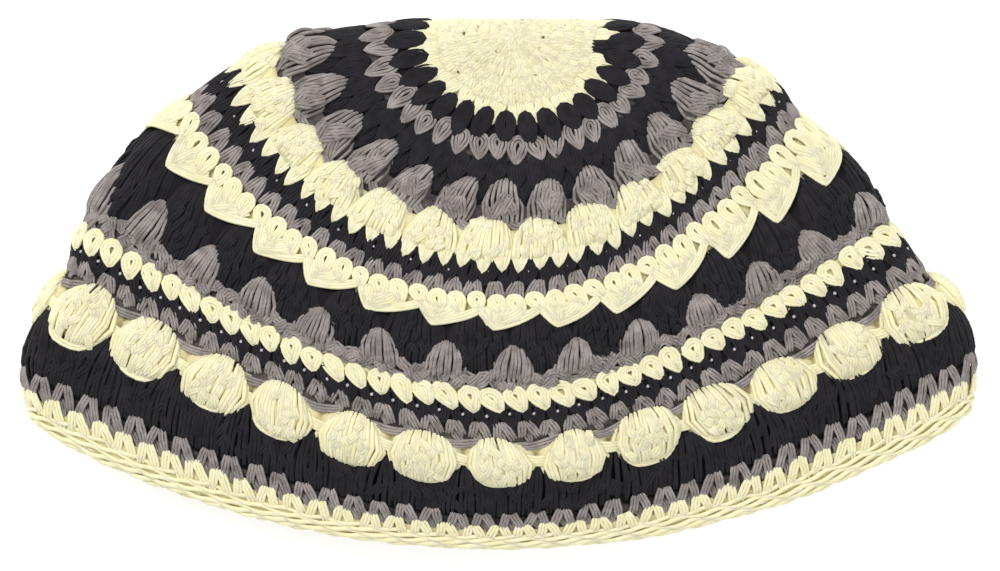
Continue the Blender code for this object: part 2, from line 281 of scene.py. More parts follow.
floor_mesh = bpy.data.meshes.new("floor")
bm = bmesh.new()
bmesh.ops.create_grid(bm, x_segments=1, y_segments=1, size=1.6)
bm.to_mesh(floor_mesh)
bm.free()
floor = bpy.data.objects.new("floor", floor_mesh)
bpy.context.scene.collection.objects.link(floor)
floor_paint = bpy.data.materials.new("floor_paint")
floor_paint.use_nodes = True
set_sockets(floor_paint.node_tree.nodes["Principled BSDF"], {
    "Base Color": (0.95, 0.95, 0.95, 1), "Roughness": 0.9, "Specular IOR Level": 0.1,
    "Emission Color": (1, 1, 1, 1), "Emission Strength": 0.45,
})
floor_mesh.materials.append(floor_paint)
print("floor of", floor.dimensions.x, "m")


# %% Lamps
def lamp(name, place, size, power, tint):
    """A round soft lamp, turned to shine at the cap."""
    data = bpy.data.lights.new(name, "AREA")
    data.shape = "DISK"
    data.size = size
    data.energy = power
    data.color = tint
    made = bpy.data.objects.new(name, data)
    made.location = place
    yaw = math.atan2(-place[0], place[1])
    reach = math.hypot(place[0], place[1])
    made.rotation_euler = (math.atan2(reach, place[2]), 0, yaw + math.pi)
    bpy.context.scene.collection.objects.link(made)


lamp("key_lamp", (-0.7, 0.8, 1.3), 0.9, 18, (1.0, 0.99, 0.97))
lamp("fill_lamp", (1.0, -0.3, 1.3), 1.4, 9, (0.98, 0.99, 1.0))
world = bpy.data.worlds.new("studio")
bpy.context.scene.world = world
world.use_nodes = True
set_sockets(world.node_tree.nodes["Background"], {"Color": (1, 1, 1, 1), "Strength": 0.5})
bpy.context.scene.view_settings.view_transform = "Standard"
print("two lamps and a pale sky")

# %% [markdown]
# ## The yarn
#
# The yarn is soft matt cotton of several thin strands. The streaks of its fibres run along
# each strand, so they are drawn on the strand's own UV map, stretched along its length. A
# slower noise on the object's coordinates makes one strand a little lighter than the next,
# and the shader's sheen stands for the short fuzz. The cream cotton also lets a little light
# through, which keeps its shaded sides pale. The wall behind the stitches has the same
# colour, darker, as yarn in the shade of other yarn. Two more finishes are painted into small
# holes: painted shade, dark olive, in those of the crown, and painted light, as pale as the
# table seen through them, in those of the navy rounds.

# %% Yarn colours: dark and light strand, and the shade between the strands
YARNS = {
    "cream": ((0.84, 0.775, 0.475), (0.94, 0.885, 0.60), (0.70, 0.62, 0.34)),
    "navy": ((0.010, 0.009, 0.011), (0.022, 0.020, 0.025), (0.011, 0.0095, 0.0115)),
    "grey": ((0.17, 0.147, 0.142), (0.39, 0.350, 0.335), (0.040, 0.034, 0.033)),
}
SHEEN = {"cream": 0.10, "navy": 0.03, "grey": 0.12}
SOFTNESS = {"cream": 0.35, "navy": 0.0, "grey": 0.0}
# Painted shade: the dark inside of the crown's small holes
PAINTED_HOLE_SHADE = ((0.09, 0.065, 0.020), (0.22, 0.17, 0.06))
# Painted light: the pale table seen through the pinholes of the navy rounds
PAINTED_PINHOLE_LIGHT = ((0.42, 0.39, 0.44), (0.62, 0.58, 0.62))


def yarn_material(name, dark, light, sheen, streaked, soft=0.0):
    """Matt cotton between a dark and a light colour, streaked along its strands or not."""
    material = bpy.data.materials.new(name)
    material.use_nodes = True
    tree = material.node_tree
    link = tree.links.new
    shader = tree.nodes["Principled BSDF"]
    set_sockets(shader, {
        "Roughness": 0.9, "Specular IOR Level": 0.2, "Sheen Weight": sheen,
        "Sheen Roughness": 0.6, "Subsurface Weight": soft,
        "Subsurface Radius": (1.0, 0.9, 0.6), "Subsurface Scale": 0.0010,
    })
    place = tree.nodes.new("ShaderNodeTexCoord")
    tone = tree.nodes.new("ShaderNodeTexNoise")
    set_sockets(tone, {"Scale": 300, "Detail": 2})
    fibre = tree.nodes.new("ShaderNodeTexNoise")
    set_sockets(fibre, {"Scale": 1.6 if streaked else 3500, "Detail": 2})
    link(place.outputs["Object"], tone.inputs["Vector"])
    if streaked:
        apart = tree.nodes.new("ShaderNodeVectorMath")
        apart.operation = "SCALE"
        apart.inputs["Scale"].default_value = 350
        along_strand = tree.nodes.new("ShaderNodeVectorMath")
        along_strand.operation = "MULTIPLY_ADD"
        along_strand.inputs[1].default_value = (6, 7, 1)
        link(place.outputs["Object"], apart.inputs[0])
        link(place.outputs["UV"], along_strand.inputs[0])
        link(apart.outputs["Vector"], along_strand.inputs[2])
        link(along_strand.outputs["Vector"], fibre.inputs["Vector"])
    else:
        link(place.outputs["Object"], fibre.inputs["Vector"])
    blend = tree.nodes.new("ShaderNodeMix")
    blend.inputs["Factor"].default_value = 0.45
    link(tone.outputs["Fac"], blend.inputs["A"])
    link(fibre.outputs["Fac"], blend.inputs["B"])
    ramp = tree.nodes.new("ShaderNodeValToRGB")
    for stop, at, tint in zip(ramp.color_ramp.elements, (0.36, 0.64), (dark, light)):
        stop.position = at
        stop.color = (*tint, 1)
    link(blend.outputs["Result"], ramp.inputs["Fac"])
    link(ramp.outputs["Color"], shader.inputs["Base Color"])
    bump = tree.nodes.new("ShaderNodeBump")
    set_sockets(bump, {"Strength": 0.6, "Distance": 0.00012})
    link(fibre.outputs["Fac"], bump.inputs["Height"])
    link(bump.outputs["Normal"], shader.inputs["Normal"])
    return material


yarn_finish = {}
shade_finish = {}
for colour, (dark, light, deep) in YARNS.items():
    soft = SOFTNESS[colour]
    yarn_finish[colour] = yarn_material(colour + "_yarn", dark, light, SHEEN[colour], True, soft)
    shade_finish[colour] = yarn_material(colour + "_shade", deep, dark, 0.0, False, soft)
# Painted shade for the small holes of the crown
painted_hole_shade = yarn_material("hole_shade", *PAINTED_HOLE_SHADE, 0.0, False)
# Painted light for the pinholes of the navy rounds
painted_pinhole_light = yarn_material("pinhole_light", *PAINTED_PINHOLE_LIGHT, 0.0, False)
print("yarns:", ", ".join(yarn_finish))

# %% [markdown]
# ## Laying strands on the cap
#
# A stitch is a loop of yarn, and the yarn is a few strands side by side. The loop's middle
# line is drawn once on the map, for a stitch one unit wide in a round one unit high. Every
# stitch of a round then follows the same line in its own place, with a little difference, and
# each strand runs beside it. Where the yarn is pulled tight the strands draw together, so the
# line's last column says how far apart they lie.

# %% A smooth line through a stitch's few points
def smooth_line(points, count, closed):
    """A rounded line through rows of unit across, unit down, lift in mm and looseness."""
    points = np.array(points, float)
    knots = np.vstack([points, points[:1]]) if closed else points
    spans = len(knots) - 1
    wanted = np.linspace(0, spans, count, endpoint=not closed)
    spot = np.minimum(wanted.astype(int), spans - 1)
    t = (wanted - spot)[:, None]

    def knot(i):
        return knots[np.mod(i, spans)] if closed else knots[np.clip(i, 0, spans)]

    a, b, c, d = knot(spot - 1), knot(spot), knot(spot + 1), knot(spot + 2)
    return 0.5 * (
        2 * b + (c - a) * t + (2 * a - 5 * b + 4 * c - d) * t**2
        + (3 * b - a - 3 * c + d) * t**3
    )


VARY = {"width": 2.2, "height": 2.0, "drop": 1.2, "tilt": 2.5}
VARY_LIFT = 0.00015
MM = 0.001


def stitches(line, count, phase, start, end, wobble=0.05, lean=0.0, seed=1, every=None):
    """The middle line of every stitch of a round on the map: turn, share, lift, looseness."""
    rng = np.random.default_rng(seed)
    index = np.arange(count) if every is None else np.array(every)
    n = len(index)
    shift = rng.uniform(-wobble, wobble, (n, 1))
    wide = 1 + rng.uniform(-wobble, wobble, (n, 1)) * VARY["width"]
    tall = 1 + rng.uniform(-wobble, wobble, (n, 1)) * VARY["height"]
    drop = rng.uniform(-wobble, wobble, (n, 1)) * VARY["drop"]
    tilt = lean + rng.uniform(-wobble, wobble, (n, 1)) * VARY["tilt"]
    across = line[None, :, 0] * wide + shift + tilt * (line[None, :, 1] - 0.5)
    down = 0.5 + (line[None, :, 1] - 0.5) * tall + drop
    turns = math.pi / 2 - (index[:, None] + phase + across) * 2 * math.pi / count
    shares = start + (end - start) * down
    lifts = line[None, :, 2] * MM + rng.uniform(-VARY_LIFT, VARY_LIFT, (n, 1))
    loose = line[None, :, 3]
    return turns, shares, np.broadcast_to(lifts, turns.shape), np.broadcast_to(loose, turns.shape)


def side_by_side(middle, strands, spacing, closed, stray=0.10, seed=1):
    """Several strands next to each other along each middle line, none quite parallel."""
    rng = np.random.default_rng(seed + 1000)
    turns, shares, lifts, loose = middle
    places, normals = on_cap(turns, shares, lifts)
    if closed:
        ahead = np.roll(places, -1, axis=1) - np.roll(places, 1, axis=1)
    else:
        ahead = np.gradient(places, axis=1)
    aside = np.cross(normals, ahead)
    aside /= np.maximum(np.linalg.norm(aside, axis=2, keepdims=True), 1e-12)
    n, points = turns.shape
    way = np.linspace(0, 2 * math.pi, points, endpoint=not closed)[None, :]
    bundle = []
    for k in range(strands):
        sway = np.sin(rng.integers(1, 3, (n, 1)) * way + rng.uniform(0, 6.3, (n, 1)))
        rise = np.sin(rng.integers(1, 3, (n, 1)) * way + rng.uniform(0, 6.3, (n, 1)))
        offset = (k - (strands - 1) / 2) * spacing * loose + sway * stray * spacing
        sink = 0.15 * np.abs(offset) + rise * stray * spacing
        bundle.append(places + aside * offset[..., None] - normals * sink[..., None])
    return np.concatenate(bundle)


print("a stitch is one unit wide and one unit high")

# %% [markdown]
# ## Strands become tubes
#
# Blender's curves turn lines into round tubes: a bevel depth gives the strand its thickness.
# The half of the cap that lies on the floor has thousands of strands too. They get the same
# lines with fewer points and sides, which nobody can tell from the full ones there.

# %% Full tubes above, simple ones below
UNDERSIDE = 0.0030
UPPER_SIDES = 6
LOWER_SIDES = 4
FLOOR_GAP = 0.0004


def tube_mesh(name, lines, sides):
    """One mesh of round tubes. lines: (points, radius, closed) for each strand."""
    curve = bpy.data.curves.new(name, "CURVE")
    curve.dimensions = "3D"
    curve.bevel_depth = 1.0
    curve.bevel_resolution = sides // 2 - 2
    curve.use_fill_caps = True
    for line, radius, closed in lines:
        line = np.array(line)
        line[:, 2] = np.maximum(line[:, 2], radius * 1.02)
        taper = np.full(len(line), radius, dtype=np.float32)
        if not closed:
            taper[[0, -1]] *= 0.6
        spline = curve.splines.new("POLY")
        spline.points.add(len(line) - 1)
        flat = np.column_stack([line, np.ones(len(line))]).astype(np.float32).ravel()
        spline.points.foreach_set("co", flat)
        spline.points.foreach_set("radius", taper)
        spline.use_cyclic_u = closed
    holder = bpy.data.objects.new(name, curve)
    bpy.context.scene.collection.objects.link(holder)
    graph = bpy.context.evaluated_depsgraph_get()
    mesh = bpy.data.meshes.new_from_object(holder.evaluated_get(graph))
    bpy.data.objects.remove(holder)
    bpy.data.curves.remove(curve)
    mesh.shade_smooth()
    return mesh


def add_tubes(bm, name, bundles, slot):
    """Adds strands to a bmesh. bundles: (lines of points, strand radius, closed) groups."""
    above, below = [], []
    for lines, radius, closed in bundles:
        for line in lines:
            if line[:, 2].mean() > UNDERSIDE:
                above.append((line, radius, closed))
            else:
                short = line[::2] if closed else line[np.r_[0 : len(line) - 1 : 2, len(line) - 1]]
                below.append((short, radius, closed))
    for lines, sides in ((above, UPPER_SIDES), (below, LOWER_SIDES)):
        if lines:
            mesh = tube_mesh(name, lines, sides)
            for polygon in mesh.polygons:
                polygon.material_index = slot
            bm.from_mesh(mesh)
            bpy.data.meshes.remove(mesh)


print("strands below", UNDERSIDE * 1000, "mm are the simple ones")

# %% [markdown]
# ## The wall behind the stitches
#
# Behind the stitches lies the fabric itself, which keeps light from showing through and is
# what we see inside the cap. It starts as a flat grid with one row for each line of the
# wall's section, and is laid round the cap as a belt. Its outside lies a little deeper than
# the yarn, and swells under each bobble.

# %% Edges between the rounds, as shares of the way to the rim
EDGES = {
    "centre": 0.0, "crown": 0.159, "navy_1": 0.202, "grey_1": 0.244, "navy_2": 0.293,
    "grey_bobble": 0.369, "cream_shell": 0.448, "navy_3": 0.483, "grey_2": 0.515,
    "cream_1": 0.558, "navy_shell": 0.637, "grey_fan": 0.692, "cream_2": 0.727,
    "navy_4": 0.762, "grey_3": 0.797, "cream_bobble": 0.872, "navy_5": 0.942,
    "grey_4": 0.967, "rim": 1.000,
}
SINK = {"cream": 0.0005, "navy": 0.0005, "grey": 0.0013}


def wall(colour, start, end, lips=(0.0, 0.0), swell=None, faces=180, deeper=0.0):
    """A belt of fabric from one edge to another. lips: how far it runs on under its neighbours."""
    turns = np.linspace(0.0, 2 * math.pi, faces + 1)
    first = max(EDGES[start] - lips[0], 0.0005)
    last = EDGES[end] + lips[1]
    rows = []
    for part in (0.0, 0.25, 0.5, 0.75, 1.0):
        share = first + (last - first) * part
        lift = np.full(len(turns), -SINK[colour] - deeper)
        if swell:
            count, phase, height, middle, reach = swell
            round_it = np.abs(np.cos((turns - math.pi / 2) * count / 2 + math.pi * phase))
            hump = max(0.0, 1 - ((share - middle) / reach) ** 2)
            lift = lift + height * round_it**0.7 * hump
        rows.append(on_cap(turns, share, lift)[0])
    for part in (1.0, 0.5, 0.0):
        rows.append(on_cap(turns, first + (last - first) * part, -WALL)[0])
    rows.append(rows[0])
    bm = bmesh.new()
    bmesh.ops.create_grid(bm, x_segments=faces, y_segments=len(rows) - 1, size=0.5)
    for vert in bm.verts:
        column = round((vert.co.x + 0.5) * faces)
        row = round((vert.co.y + 0.5) * (len(rows) - 1))
        vert.co = rows[row][column]
        vert.co.z = max(vert.co.z, FLOOR_GAP)
    bmesh.ops.remove_doubles(bm, verts=bm.verts, dist=1e-6)
    bmesh.ops.recalc_face_normals(bm, faces=bm.faces)
    for face in bm.faces:
        face.smooth = True
        face.material_index = 1
    return bm


def finish_piece(name, node, colour, bm, bundles, behind=None, behind_finish=None):
    """Joins a wall, its yarn and its dots of painted shade or light into one piece that stands for
    the node.
    """
    add_tubes(bm, name + "_strands", bundles, 0)
    if behind:
        add_tubes(bm, name + "_behind", behind, 2)
    mesh = bpy.data.meshes.new(name)
    bm.to_mesh(mesh)
    bm.free()
    mesh.materials.append(yarn_finish[colour])
    mesh.materials.append(shade_finish[colour])
    if behind:
        mesh.materials.append(behind_finish)
    piece = bpy.data.objects.new(name, mesh)
    bpy.context.scene.collection.objects.link(piece)
    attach(piece, "root")
    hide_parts(node)
    triangles = sum(len(p.vertices) - 2 for p in mesh.polygons)
    print(name, "has", triangles, "triangles")


print("walls lie", {name: depth * 1000 for name, depth in SINK.items()}, "mm under the yarn")

# %% [markdown]
# ## The single crochet
#
# Most rounds are single crochet. From the front each stitch is a loop like an acorn: two legs
# meet under the round above, bulge round a small hole, and close in a tail that points between
# the stitches of the round below. As with tiles on a roof, every round is shifted by half a
# stitch.

# %% One single crochet: across, down, lift in mm, looseness
SINGLE = (
    (0.05, 1.26, 0.05, 0.25), (-0.04, 1.06, 0.25, 0.60), (-0.18, 0.74, 0.25, 0.95),
    (-0.27, 0.42, 0.15, 1.00), (-0.21, 0.12, -0.10, 0.95), (0.00, 0.00, -0.25, 0.90),
    (0.21, 0.12, -0.10, 0.95), (0.28, 0.42, 0.15, 1.00), (0.20, 0.74, 0.25, 1.00),
    (0.13, 1.06, 0.25, 0.60),
)
ACORN = (
    (0.15, 1.14, 0.05, 0.60), (0.02, 0.96, 0.25, 0.80), (-0.15, 0.70, 0.25, 0.95),
    (-0.28, 0.42, 0.20, 1.00), (-0.22, 0.13, -0.05, 0.90), (0.00, 0.02, -0.10, 0.85),
    (0.22, 0.13, -0.05, 0.90), (0.29, 0.42, 0.20, 1.00), (0.25, 0.70, 0.25, 0.95),
    (0.22, 1.00, 0.25, 0.75),
)
ROUND_TOP = (
    (0.02, 1.20, -0.20, 0.50), (-0.10, 1.00, 0.00, 0.80), (-0.24, 0.74, 0.15, 0.95),
    (-0.29, 0.44, 0.25, 1.00), (-0.21, 0.12, 0.22, 0.95), (0.00, 0.00, 0.18, 0.90),
    (0.21, 0.12, 0.22, 0.95), (0.29, 0.44, 0.25, 1.00), (0.24, 0.74, 0.15, 0.95),
    (0.14, 1.00, 0.00, 0.80),
)
TOOTH = (
    (0.00, 1.16, 0.10, 0.10), (-0.07, 0.96, 0.15, 0.55), (-0.20, 0.62, 0.20, 0.95),
    (-0.29, 0.34, 0.10, 1.00), (-0.18, 0.06, -0.10, 0.95), (0.18, 0.06, -0.10, 0.95),
    (0.29, 0.34, 0.10, 1.00), (0.20, 0.62, 0.20, 0.95), (0.07, 0.96, 0.15, 0.55),
)
LEFT_LEG = (
    (-0.10, 0.02, -0.05, 0.75), (-0.15, 0.26, 0.15, 1.00), (-0.23, 0.62, 0.15, 1.00),
    (-0.32, 1.02, -0.40, 0.90),
)
RIGHT_LEG = (
    (0.11, 0.00, -0.05, 0.75), (0.17, 0.26, 0.20, 1.00), (0.27, 0.62, 0.17, 1.00),
    (0.36, 1.04, -0.40, 0.90),
)
SHORT_TAIL = (
    (-0.12, 0.66, -0.80, 1.00), (0.00, 0.90, -0.55, 1.00), (0.10, 1.30, -0.60, 0.70),
)


def placed(line, width=1.0, height=1.0, lift=0.0):
    """A copy of a stitch's line, stretched and lifted."""
    made = np.array(line, float)
    made[:, 0] *= width
    made[:, 1] *= height
    made[:, 2] += lift
    return made


def single_round(count, phase, start, end, line=SINGLE, strands=3, radius=0.00049,
                 spacing=0.00070, wobble=0.06, lean=0.12, seed=1, points=14, every=None, **where):
    """The yarn of one round of single crochet."""
    middle = stitches(smooth_line(placed(line, **where), points, True),
                      count, phase, start, end, wobble, lean, seed, every)
    return side_by_side(middle, strands, spacing, True, seed=seed), radius, True


def open_round(count, phase, start, end, line, strands=2, radius=0.00040, spacing=0.00082,
               wobble=0.05, lean=0.0, seed=1, points=7, every=None):
    """Open lines of yarn, one for each unit of a round, such as legs, links and floats."""
    middle = stitches(smooth_line(line, points, False), count, phase, start, end, wobble,
                      lean, seed, every)
    return side_by_side(middle, strands, spacing, False, seed=seed), radius, False


def leg_round(count, phase, start, end, seed, strands=3, wobble=0.06, radius=0.00036, lift=0.0):
    """A round whose stitches show as two legs of loose strands, with their tails in the shade."""
    look = {"radius": radius, "spacing": radius * 1.95, "wobble": wobble}
    left, right = placed(LEFT_LEG, lift=lift), placed(RIGHT_LEG, lift=lift)
    return [
        open_round(count, phase, start, end, left, strands, seed=seed, **look),
        open_round(count, phase, start, end, right, strands, seed=seed, **look),
        open_round(count, phase, start, end, SHORT_TAIL, 3, seed=seed + 500, **look),
    ]


print("a single crochet follows", len(SINGLE), "points")

# %% [markdown]
# ## Domes and wraps
#
# A bobble is a handful of tall stitches drawn together at both ends, so it stands out like a
# small cushion. A shell is a few tall stitches worked into one space, with a round top and a
# tail under each stitch. Both are a dome of strands that run from the crown side to the rim
# side, in posts of three. Short wraps of yarn lie slantwise over the posts, because a tall
# stitch is wound once or twice round itself. A ball with a bump map would be lighter, but its
# outline would stay smooth.

# %% A dome of strands, and the wraps that lie over it
def dome_height(across, down):
    """How high a dome is, from 0 at its edge to 1 in its middle."""
    side = np.sqrt(np.maximum(1 - across**2, 0.0))
    return side * np.sin(math.pi * np.clip(down, 0.0, 1.0)) ** 0.5


def dome(count, phase, start, end, posts, widths, radius, sags=(0.2, 0.1), rise=2.0,
         base=-0.3, wobble=0.04, seed=1, points=9, gather=0.75, in_post=3):
    """Posts of strands over a dome. widths: half widths at the top, middle and foot."""
    rng = np.random.default_rng(seed)
    index = np.arange(count)
    t = np.linspace(0.0, 1.0, points)
    half = np.interp(t, (0.0, 0.12, 0.5, 0.88, 1.0), (
        widths[0], widths[0] * 0.6 + widths[1] * 0.4, widths[1],
        widths[2] * 0.6 + widths[1] * 0.4, widths[2],
    ))
    strands = posts * in_post
    own_post = (np.arange(strands) // in_post + 0.5) / posts * 2 - 1
    within = (np.arange(strands) % in_post - (in_post - 1) / 2) * gather * 2 / strands
    place = (own_post + within)[None, :] + rng.uniform(-0.05, 0.05, (count, strands))
    place = np.clip(place * posts / (posts - 0.4), -1.0, 1.0)
    bend = 1 - np.sqrt(np.maximum(1 - place**2 * 0.98, 0.0))
    top = sags[0] * bend * rng.uniform(0.5, 1.5, (count, 1))
    foot = 1 - sags[1] * bend * rng.uniform(0.5, 1.5, (count, 1))
    down = top[..., None] + (foot - top)[..., None] * t
    grow = 1 + rng.uniform(-wobble, wobble, (count, 1, 1)) * 1.5
    tilt = rng.uniform(-wobble, wobble, (count, 1, 1)) * 3.0
    across = place[..., None] * half * grow + tilt * (down - 0.5)
    across = across + rng.uniform(-wobble, wobble, (count, 1, 1))
    ripples = rng.uniform(3, 7, (count, strands, 1))
    sway = np.sin(t * ripples + rng.uniform(0, 6, (count, strands, 1)))
    across = across + sway * 0.018 * widths[1]
    lift = base + rise * dome_height(place[..., None], t) + sway[:, ::-1] * 0.12
    turns = math.pi / 2 - (index[:, None, None] + phase + across) * 2 * math.pi / count
    shares = start + (end - start) * (down + rng.uniform(-wobble, wobble, (count, 1, 1)))
    lines = on_cap(turns, shares, lift * MM)[0]
    return lines.reshape(count * strands, points, 3), radius, False


def wraps(count, phase, start, end, each, half_width, radius, spacing, rise, base, seed,
          lows=(0.15, 0.85), reach=0.15, slant=0.22, strands=2, spread=0.7, points=6):
    """Short slanting wraps over each dome of a round."""
    rng = np.random.default_rng(seed)
    n = count * each
    index = np.repeat(np.arange(count), each)[:, None]
    t = np.linspace(-1.0, 1.0, points)[None, :]
    slot = np.tile((np.arange(each) + 0.5) / each * 2 - 1, count)[:, None]
    middle = slot * spread + rng.uniform(-0.12, 0.12, (n, 1))
    height = rng.uniform(lows[0], lows[1], (n, 1))
    side = rng.choice([-1.0, 1.0], (n, 1)) * slant * rng.uniform(0.4, 1.2, (n, 1))
    across = middle + side * t
    down = height + reach * rng.uniform(0.7, 1.2, (n, 1)) * t
    lift = base + rise * dome_height(np.clip(across, -1, 1), down) + 0.55 * (1 - t**2) - 0.25
    turns = math.pi / 2 - (index + phase + across * half_width) * 2 * math.pi / count
    shares = start + (end - start) * down
    loose = np.broadcast_to(1.0 - 0.35 * t**2, turns.shape)
    middle_lines = (turns, shares, lift * MM, loose)
    return side_by_side(middle_lines, strands, spacing, False, seed=seed), radius, False


print("a dome is drawn by its meridians")

# %% [markdown]
# ## The crown
#
# The crown starts from a few stitches at the centre, and each round has about five more than
# the last, so it lies flat. Rows of legs alone would leave dark rings, so short wraps lie over
# them here and there. The tails of the last round are the cream teeth that point into the
# navy. One is missing at the right, where the maker changed to navy yarn. The crown also has
# small holes, dark with shade. Cutting them would need many faces, so a very short strand in
# painted shade lies in the place of each.

# %% Crown
# A round is a tuple here and below: how many stitches or repeats, their phase, start and end.
CROWN_TEETH = 31
CHANGE = 7
TEETH_ROUND = (CROWN_TEETH, 0.0, 0.122, 0.164)
OUTER_CROWN = (CROWN_TEETH, 0.0, 0.060, 0.140)
INNER_CROWN = (5, 0.3, 0.000, 0.040)
CROWN_LEGS = (
    (8, 0.1, 0.004, 0.034), (14, 0.3, 0.024, 0.052), (19, 0.0, 0.042, 0.070),
    (23, 0.5, 0.060, 0.088), (27, 0.2, 0.078, 0.106), (31, 0.0, 0.094, 0.122),
    (31, 0.5, 0.108, 0.134),
)
RAISED = (1.0, 1.0, 2.2, 1.0)
HOLE_RINGS = ((5, 0.2, 0.046), (9, 0.6, 0.083), (8, 0.1, 0.116))
HOLE_SPAN = 0.01
# A hole's dot: a very short strand in painted shade
SPOT = ((-0.02, 0.0, 0.38, 1.0), (0.00, 0.1, 0.42, 1.0), (0.02, 0.2, 0.38, 1.0))
crown = [
    single_round(*TEETH_ROUND, TOOTH, wobble=0.07, lean=0.02, seed=13,
                 every=[k for k in range(CROWN_TEETH) if k != CHANGE]),
]
for ring, leg_ring in enumerate(CROWN_LEGS):
    for leg in (LEFT_LEG, RIGHT_LEG):
        raised_leg = placed(np.array(leg) * RAISED, lift=0.10)
        crown.append(open_round(*leg_ring, raised_leg, strands=3, radius=0.00050,
                                spacing=0.00070, wobble=0.12, seed=100 + ring, points=6))
flat_wraps = {"half_width": 0.5, "radius": 0.00048, "spacing": 0.00070, "rise": 0.0, "points": 5}
crown += [
    wraps(*OUTER_CROWN, each=3, base=0.25, seed=15, lows=(0.1, 0.85), reach=0.10, slant=0.5,
          spread=0.6, **flat_wraps),
    wraps(*INNER_CROWN, each=4, base=0.35, seed=18, lows=(0.05, 0.8), reach=0.12, slant=0.3,
          strands=3, spread=0.8, **flat_wraps),
]
# Short strands of painted shade stand for the dark inside of the crown's small holes
crown_hole_shade_dots = [
    open_round(count, phase, share, share + HOLE_SPAN, SPOT, strands=1, radius=0.00054,
               spacing=0.0, wobble=0.20, seed=16 + count, points=3)
    for count, phase, share in HOLE_RINGS
]
finish_piece("crown_rounds", "crown_disc", "cream", wall("cream", "centre", "crown"), crown,
             crown_hole_shade_dots, painted_hole_shade)

# %% [markdown]
# ## The first narrow rounds
#
# Navy, grey and navy again, each one round of single crochet. In the grey yarn the strands
# lie apart, so they get a thinner tube and a little space. The first navy ones lie close, with
# a round top, and leave the cream teeth their points.

# %% Narrow rounds round the crown
FULL_YARN = {"radius": 0.00050, "spacing": 0.00084}
CLOSE_YARN = {"radius": 0.00048, "spacing": 0.00068}
NAVY_1 = (CROWN_TEETH, 0.5, 0.154, 0.199)
NAVY_CHANGE = (CROWN_TEETH, 0.0, 0.120, 0.164)
GREY_1 = (42, 0.2, 0.200, 0.238)
NAVY_2 = (48, 0.4, 0.242, 0.290)
NAVY_2_UNDER = (48, 0.9, 0.285, 0.318)
finish_piece(
    "navy_round_1", "navy_band_1", "navy", wall("navy", "crown", "navy_1"),
    [
        single_round(*NAVY_1, ROUND_TOP, strands=4, radius=0.00048, spacing=0.00062, lean=0.04,
                     seed=21, lift=0.3, width=0.82),
        single_round(*NAVY_CHANGE, ROUND_TOP, **FULL_YARN, seed=20, every=[CHANGE]),
    ],
)
finish_piece(
    "grey_round_1", "grey_band_1", "grey", wall("grey", "navy_1", "grey_1"),
    [single_round(*GREY_1, radius=0.00040, spacing=0.00084, wobble=0.09, seed=22)],
)
finish_piece(
    "navy_round_2", "navy_band_2", "navy", wall("navy", "grey_1", "navy_2", lips=(0.0, 0.04)),
    [
        single_round(*NAVY_2, strands=4, **CLOSE_YARN, seed=23),
        single_round(*NAVY_2_UNDER, **FULL_YARN, seed=24, lift=-0.5),
    ],
)

# %% [markdown]
# ## Bobbles and shells
#
# Now the raised pieces, from the domes above. A grey bobble shows its long strands, under a few
# wraps, and has a pointed lower corner and a link to the next one. A cream shell is wider, with
# many wraps close together, and the tails of its stitches point into the navy round below.

# %% Grey bobbles
GREY_BOBBLES = (24, 0.05, 0.281, 0.374)
LINK = (
    (0.22, 0.86, 0.10, 1.0), (0.38, 0.99, 0.10, 1.0), (0.56, 0.98, 0.00, 1.0),
    (0.74, 0.84, -0.20, 0.8),
)
POINT = (
    (-0.16, 0.66, 1.40, 1.0), (-0.02, 0.86, 1.20, 1.0), (0.14, 1.06, 0.30, 0.8),
    (0.26, 1.20, -0.50, 0.5),
)
finish_piece(
    "grey_bobble_round", "grey_bobbles", "grey",
    wall("grey", "navy_2", "grey_bobble", lips=(0.0, 0.016),
         swell=(24, 0.05, 0.0022, 0.328, 0.045), faces=288),
    [
        dome(*GREY_BOBBLES, posts=3, widths=(0.28, 0.42, 0.34), radius=0.00050,
             sags=(0.26, 0.04), rise=2.7, wobble=0.06, seed=31, gather=0.95),
        wraps(*GREY_BOBBLES, each=5, half_width=0.38, radius=0.00045, spacing=0.00090, rise=2.9,
              base=0.15, seed=32, lows=(0.50, 0.86), reach=0.17, slant=0.28, strands=3,
              spread=0.6, points=7),
        open_round(*GREY_BOBBLES, LINK, strands=3, radius=0.00045, wobble=0.06, seed=34),
        open_round(*GREY_BOBBLES, POINT, strands=3, radius=0.00045, wobble=0.08, seed=35),
    ],
)

# %% Cream shells
SHELL_POSTS = (24, -0.20, 0.354, 0.440)
SHELL_WRAPS = (24, -0.20, 0.354, 0.446)
SHELL_TAILS = (72, -0.6, 0.412, 0.450)
finish_piece(
    "cream_shell_round", "cream_shells", "cream",
    wall("cream", "grey_bobble", "cream_shell", lips=(-0.012, -0.010),
         swell=(24, -0.20, 0.0024, 0.400, 0.055), faces=288),
    [
        dome(*SHELL_POSTS, posts=5, widths=(0.34, 0.46, 0.48), radius=0.00056,
             sags=(0.34, 0.0), rise=2.0, base=0.0, wobble=0.02, seed=41, points=8, gather=1.0),
        wraps(*SHELL_WRAPS, each=12, half_width=0.43, **CLOSE_YARN, rise=1.9, base=0.25, seed=42,
              lows=(0.16, 0.92), reach=0.10, slant=0.15, strands=3, spread=0.8, points=5),
        single_round(*SHELL_TAILS, lean=0.04, seed=43, points=12, lift=0.30),
    ],
)
